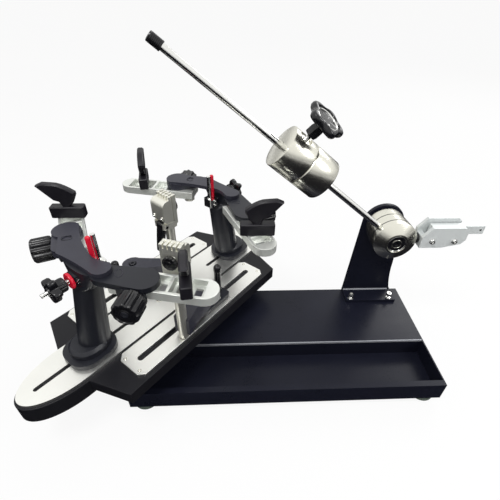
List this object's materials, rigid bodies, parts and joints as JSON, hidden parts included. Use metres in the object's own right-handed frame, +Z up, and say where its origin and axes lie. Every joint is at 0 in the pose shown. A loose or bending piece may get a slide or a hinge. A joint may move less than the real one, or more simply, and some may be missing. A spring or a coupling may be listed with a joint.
{
  "type": "racket stringing machine",
  "caption": "Drop-weight racket stringing machine: base with tool tray, turntable with mounting towers, shoulder hooks and string clamps, and a tension drum with rod, weight and gripper.",
  "frame": {"origin": "under the middle of the whole machine's bounding box, at the level of the feet", "axes": "+X along the base toward the tension drum, +Y from the tray to the deck's back, +Z up"},
  "size_m": [0.6654, 0.396, 0.474],
  "materials": {
    "black_powder_coat": "satin powder coat",
    "black_casting": "satin black coat",
    "black_frame": "satin black coat",
    "slate_casting": "matt slate grey coat",
    "foot_rubber": "matt",
    "black_plastic": "semi-gloss",
    "brushed_steel": "brushed",
    "cast_aluminium": "bright cast",
    "nickel": "nickel plated",
    "chrome": "polished",
    "pale_aluminium": "bead blasted",
    "red": "gloss"
  },
  "bodies": {
    "base": {"base_pan": "black_powder_coat", "foot_front_left": "foot_rubber", "foot_front_right": "foot_rubber", "foot_rear_left": "foot_rubber", "foot_rear_right": "foot_rubber", "pivot_base": "black_casting", "tension_bracket": "black_powder_coat"},
    "turntable": {"turntable_frame": "black_frame", "center_rail": "brushed_steel", "side_plate_front": "brushed_steel", "side_plate_rear": "brushed_steel"},
    "front_tower": {"front_tower": "black_casting", "front_link": "slate_casting"},
    "front_left_slider": {"front_left_slider": "cast_aluminium"},
    "front_left_knob": {"front_left_knob": "black_plastic"},
    "front_left_hook": {"front_left_hook": "black_plastic"},
    "front_right_slider": {"front_right_slider": "cast_aluminium"},
    "front_right_knob": {"front_right_knob": "black_plastic"},
    "front_right_hook": {"front_right_hook": "black_plastic"},
    "front_adjuster": {"front_adjuster": "black_plastic", "front_adjuster_ring": "red"},
    "front_support": {"front_support": "chrome", "front_support_pin": "red"},
    "rear_tower": {"rear_tower": "black_casting", "rear_link": "slate_casting"},
    "rear_left_slider": {"rear_left_slider": "cast_aluminium"},
    "rear_left_knob": {"rear_left_knob": "black_plastic"},
    "rear_left_hook": {"rear_left_hook": "black_plastic"},
    "rear_right_slider": {"rear_right_slider": "cast_aluminium"},
    "rear_right_knob": {"rear_right_knob": "black_plastic"},
    "rear_right_hook": {"rear_right_hook": "black_plastic"},
    "rear_adjuster": {"rear_adjuster": "black_plastic", "rear_adjuster_ring": "red"},
    "rear_support": {"rear_support": "chrome", "rear_support_pin": "red"},
    "front_clamp_base": {"front_clamp_base": "black_casting"},
    "front_clamp_lock": {"front_clamp_lock": "black_plastic"},
    "front_clamp_arm": {"front_clamp_arm": "slate_casting"},
    "front_clamp_post": {"front_clamp_post": "nickel"},
    "front_clamp_dial": {"front_clamp_dial": "black_plastic"},
    "front_clamp_jaw": {"front_clamp_jaw": "nickel"},
    "front_clamp_lever": {"front_clamp_lever": "black_plastic"},
    "rear_clamp_base": {"rear_clamp_base": "black_casting"},
    "rear_clamp_lock": {"rear_clamp_lock": "black_plastic"},
    "rear_clamp_arm": {"rear_clamp_arm": "slate_casting"},
    "rear_clamp_post": {"rear_clamp_post": "nickel"},
    "rear_clamp_dial": {"rear_clamp_dial": "black_plastic"},
    "rear_clamp_jaw": {"rear_clamp_jaw": "nickel"},
    "rear_clamp_lever": {"rear_clamp_lever": "black_plastic"},
    "drum": {"tension_drum": "nickel", "drum_rod": "chrome", "rod_cap": "foot_rubber", "gripper_spacer": "black_plastic", "gripper_body": "pale_aluminium"},
    "weight": {"weight_inner": "nickel", "weight_outer": "nickel"},
    "weight_knob": {"weight_knob": "black_plastic"},
    "gripper_jaw": {"gripper_jaw": "pale_aluminium"}
  },
  "joints": [
    {"name": "turntable_turn", "type": "hinge", "parent": "base", "child": "turntable", "pos_m": [-0.1586, 0, 0.1075], "axis": [0, 0, 1], "continuous": true},
    {"name": "front_tower_slide", "type": "slide", "parent": "turntable", "child": "front_tower", "axis": [-0.6428, -0.766, 0], "range_m": [-0.002, 0.045]},
    {"name": "front_left_knob_turn", "type": "hinge", "parent": "front_tower", "child": "front_left_knob", "pos_m": [-0.2703, -0.03355, 0.2315], "axis": [-0.9245, -0.3811, 0], "range_deg": [-11.46, 343.77]},
    {"name": "front_left_slider_slide", "type": "slide", "parent": "front_tower", "child": "front_left_slider", "axis": [-0.3811, 0.9245, 0], "range_m": [-0.001, 0.03]},
    {"name": "front_left_hook_swivel", "type": "hinge", "parent": "front_left_slider", "child": "front_left_hook", "pos_m": [-0.29431, 0.0247, 0.1075], "axis": [0, 0, 1], "range_deg": [-13, 57]},
    {"name": "front_right_knob_turn", "type": "hinge", "parent": "front_tower", "child": "front_right_knob", "pos_m": [-0.16248, -0.11798, 0.2315], "axis": [-0.2147, -0.9767, 0], "range_deg": [-11.46, 343.77]},
    {"name": "front_right_slider_slide", "type": "slide", "parent": "front_tower", "child": "front_right_slider", "axis": [0.9767, -0.2147, 0], "range_m": [-0.001, 0.03]},
    {"name": "front_right_hook_swivel", "type": "hinge", "parent": "front_right_slider", "child": "front_right_hook", "pos_m": [-0.11072, -0.12936, 0.1075], "axis": [0, 0, 1], "range_deg": [-40, 1]},
    {"name": "front_adjuster_turn", "type": "hinge", "parent": "front_tower", "child": "front_adjuster", "pos_m": [-0.25374, -0.11337, 0.2305], "axis": [-0.6428, -0.766, 0], "range_deg": [0, 900]},
    {"name": "front_support_slide", "type": "slide", "parent": "front_tower", "child": "front_support", "axis": [0.6428, 0.766, 0], "range_m": [0, 0.00745]},
    {"name": "rear_tower_slide", "type": "slide", "parent": "turntable", "child": "rear_tower", "axis": [0.6428, 0.766, 0], "range_m": [-0.03, 0.025]},
    {"name": "rear_left_knob_turn", "type": "hinge", "parent": "rear_tower", "child": "rear_left_knob", "pos_m": [-0.14496, 0.11583, 0.2315], "axis": [0.2147, 0.9767, 0], "range_deg": [-11.46, 343.77]},
    {"name": "rear_left_slider_slide", "type": "slide", "parent": "rear_tower", "child": "rear_left_slider", "axis": [-0.9767, 0.2147, 0], "range_m": [-0.001, 0.03]},
    {"name": "rear_left_hook_swivel", "type": "hinge", "parent": "rear_left_slider", "child": "rear_left_hook", "pos_m": [-0.20649, 0.12936, 0.1075], "axis": [0, 0, 1], "range_deg": [-57, 13]},
    {"name": "rear_right_knob_turn", "type": "hinge", "parent": "rear_tower", "child": "rear_right_knob", "pos_m": [-0.04309, 0.02431, 0.2315], "axis": [0.9245, 0.3811, 0], "range_deg": [-11.46, 343.77]},
    {"name": "rear_right_slider_slide", "type": "slide", "parent": "rear_tower", "child": "rear_right_slider", "axis": [0.3811, -0.9245, 0], "range_m": [-0.001, 0.03]},
    {"name": "rear_right_hook_swivel", "type": "hinge", "parent": "rear_right_slider", "child": "rear_right_hook", "pos_m": [-0.0229, -0.0247, 0.1075], "axis": [0, 0, 1], "range_deg": [-12, 58]},
    {"name": "rear_adjuster_turn", "type": "hinge", "parent": "rear_tower", "child": "rear_adjuster", "pos_m": [-0.06347, 0.11337, 0.2305], "axis": [0.6428, 0.766, 0], "range_deg": [0, 900]},
    {"name": "rear_support_slide", "type": "slide", "parent": "rear_tower", "child": "rear_support", "axis": [-0.6428, -0.766, 0], "range_m": [0, 0.00745]},
    {"name": "front_clamp_slide", "type": "slide", "parent": "turntable", "child": "front_clamp_base", "axis": [0.6428, 0.766, 0], "range_m": [-0.001, 0.08]},
    {"name": "front_clamp_lock_turn", "type": "hinge", "parent": "front_clamp_base", "child": "front_clamp_lock", "pos_m": [-0.08151, -0.00855, 0.1075], "axis": [0, 0, 1], "range_deg": [-90, 90]},
    {"name": "front_clamp_arm_swing", "type": "hinge", "parent": "front_clamp_base", "child": "front_clamp_arm", "pos_m": [-0.1008, -0.03153, 0.1075], "axis": [0, 0, 1], "range_deg": [-42, 1]},
    {"name": "front_clamp_post_swivel", "type": "hinge", "parent": "front_clamp_arm", "child": "front_clamp_post", "pos_m": [-0.12829, -0.09329, 0.1075], "axis": [0, 0, 1], "range_deg": [-20, 2]},
    {"name": "front_clamp_dial_turn", "type": "hinge", "parent": "front_clamp_post", "child": "front_clamp_dial", "pos_m": [-0.12829, -0.09329, 0.2495], "axis": [-0.3256, -0.9455, 0], "range_deg": [-180, 180]},
    {"name": "front_clamp_lever_swing", "type": "hinge", "parent": "front_clamp_post", "child": "front_clamp_lever", "pos_m": [-0.12374, -0.08005, 0.2255], "axis": [0.9455, -0.3256, 0], "range_deg": [0, 90]},
    {"name": "front_clamp_jaw_slide", "type": "slide", "parent": "front_clamp_post", "child": "front_clamp_jaw", "axis": [0.3256, 0.9455, 0], "range_m": [0, 0.00117]},
    {"name": "rear_clamp_slide", "type": "slide", "parent": "turntable", "child": "rear_clamp_base", "axis": [0.6428, 0.766, 0], "range_m": [-0.02, 0.035]},
    {"name": "rear_clamp_lock_turn", "type": "hinge", "parent": "rear_clamp_base", "child": "rear_clamp_lock", "pos_m": [-0.24019, 0.00319, 0.1075], "axis": [0, 0, 1], "range_deg": [-90, 90]},
    {"name": "rear_clamp_arm_swing", "type": "hinge", "parent": "rear_clamp_base", "child": "rear_clamp_arm", "pos_m": [-0.22091, 0.02617, 0.1075], "axis": [0, 0, 1], "range_deg": [-42, 45]},
    {"name": "rear_clamp_post_swivel", "type": "hinge", "parent": "rear_clamp_arm", "child": "rear_clamp_post", "pos_m": [-0.1534, 0.02971, 0.1075], "axis": [0, 0, 1], "range_deg": [-30, 30]},
    {"name": "rear_clamp_dial_turn", "type": "hinge", "parent": "rear_clamp_post", "child": "rear_clamp_dial", "pos_m": [-0.1534, 0.02971, 0.2495], "axis": [0.682, 0.7314, 0], "range_deg": [-180, 180]},
    {"name": "rear_clamp_lever_swing", "type": "hinge", "parent": "rear_clamp_post", "child": "rear_clamp_lever", "pos_m": [-0.16295, 0.01947, 0.2255], "axis": [-0.7314, 0.682, 0], "range_deg": [0, 90]},
    {"name": "rear_clamp_jaw_slide", "type": "slide", "parent": "rear_clamp_post", "child": "rear_clamp_jaw", "axis": [-0.682, -0.7314, 0], "range_m": [0, 0.00117]},
    {"name": "drum_turn", "type": "hinge", "parent": "base", "child": "drum", "pos_m": [0.19385, 0.0527, 0.201], "axis": [0, 1, 0], "range_deg": [-2, 150]},
    {"name": "weight_slide", "type": "slide", "parent": "drum", "child": "weight", "axis": [-0.7837, 0, 0.6211], "range_m": [-0.09, 0.17]},
    {"name": "weight_knob_turn", "type": "hinge", "parent": "weight", "child": "weight_knob", "pos_m": [0.01987, 0.0142, 0.33889], "axis": [0.6, -0.2588, 0.757], "range_deg": [-360, 0]},
    {"name": "gripper_jaw_slide", "type": "slide", "parent": "drum", "child": "gripper_jaw", "axis": [1, 0, 0], "range_m": [-0.005, 0]}
  ],
  "couplings": [
    {"joint": "front_left_knob_turn", "follows": "front_left_slider_slide", "rad_per_m": 200},
    {"joint": "front_right_knob_turn", "follows": "front_right_slider_slide", "rad_per_m": 200},
    {"joint": "front_adjuster_turn", "follows": "front_support_slide", "rad_per_m": 2094.4},
    {"joint": "rear_left_knob_turn", "follows": "rear_left_slider_slide", "rad_per_m": 200},
    {"joint": "rear_right_knob_turn", "follows": "rear_right_slider_slide", "rad_per_m": 200},
    {"joint": "rear_adjuster_turn", "follows": "rear_support_slide", "rad_per_m": 2094.4},
    {"joint": "front_clamp_lever_swing", "follows": "front_clamp_jaw_slide", "rad_per_m": 1333.3},
    {"joint": "rear_clamp_lever_swing", "follows": "rear_clamp_jaw_slide", "rad_per_m": 1333.3}
  ]
}
